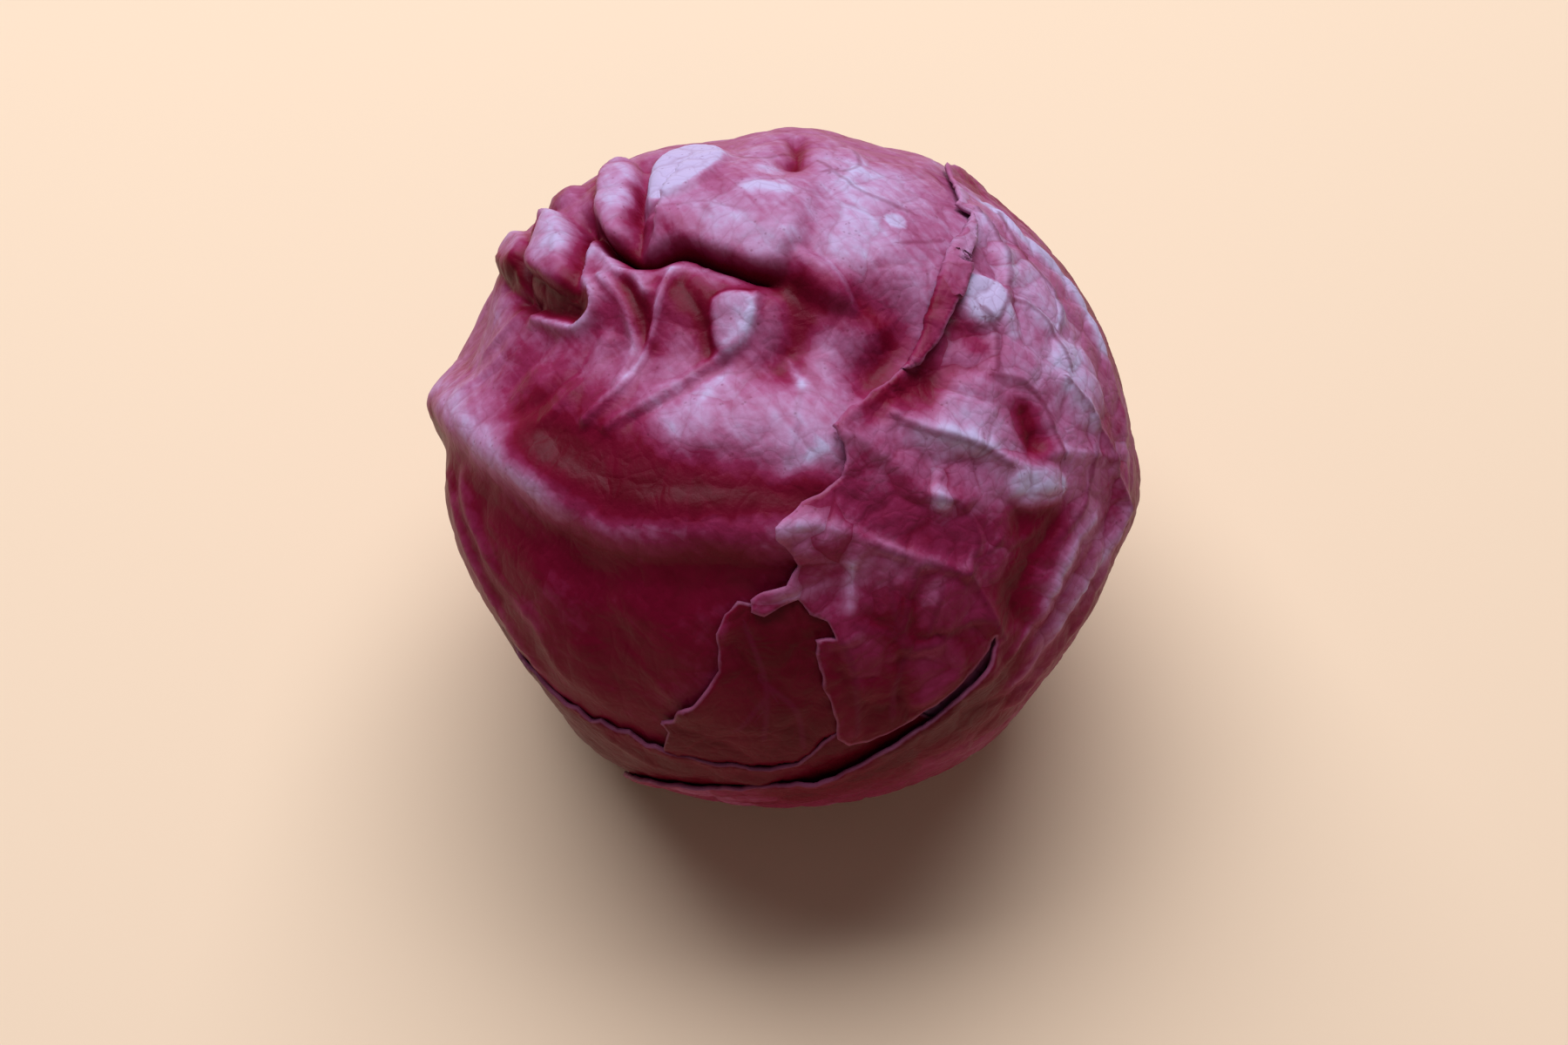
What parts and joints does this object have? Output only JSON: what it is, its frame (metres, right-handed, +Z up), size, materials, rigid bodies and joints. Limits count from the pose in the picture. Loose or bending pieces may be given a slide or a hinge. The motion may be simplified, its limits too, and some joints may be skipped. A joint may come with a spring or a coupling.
{
  "type": "red cabbage head",
  "caption": "Trimmed head of red cabbage with a crumpled crown leaf, a torn quilted side leaf and a cut stalk that it stands on.",
  "frame": {"origin": "the middle of the stalk's flat cut face, which the head stands on", "axes": "+Z up from the cut face to the crown, -Y towards the front that the picture shows, +X to the right of someone who faces that front"},
  "size_m": [0.1402, 0.1464, 0.1277],
  "materials": {
    "leaf": "satin",
    "stalk": "matte"
  },
  "bodies": {
    "root": {"stalk_and_heart": "stalk", "crown_leaf": "leaf", "front_leaf": "leaf", "lower_leaf": "leaf", "right_leaf": "leaf", "back_leaf": "leaf"}
  },
  "joints": []
}
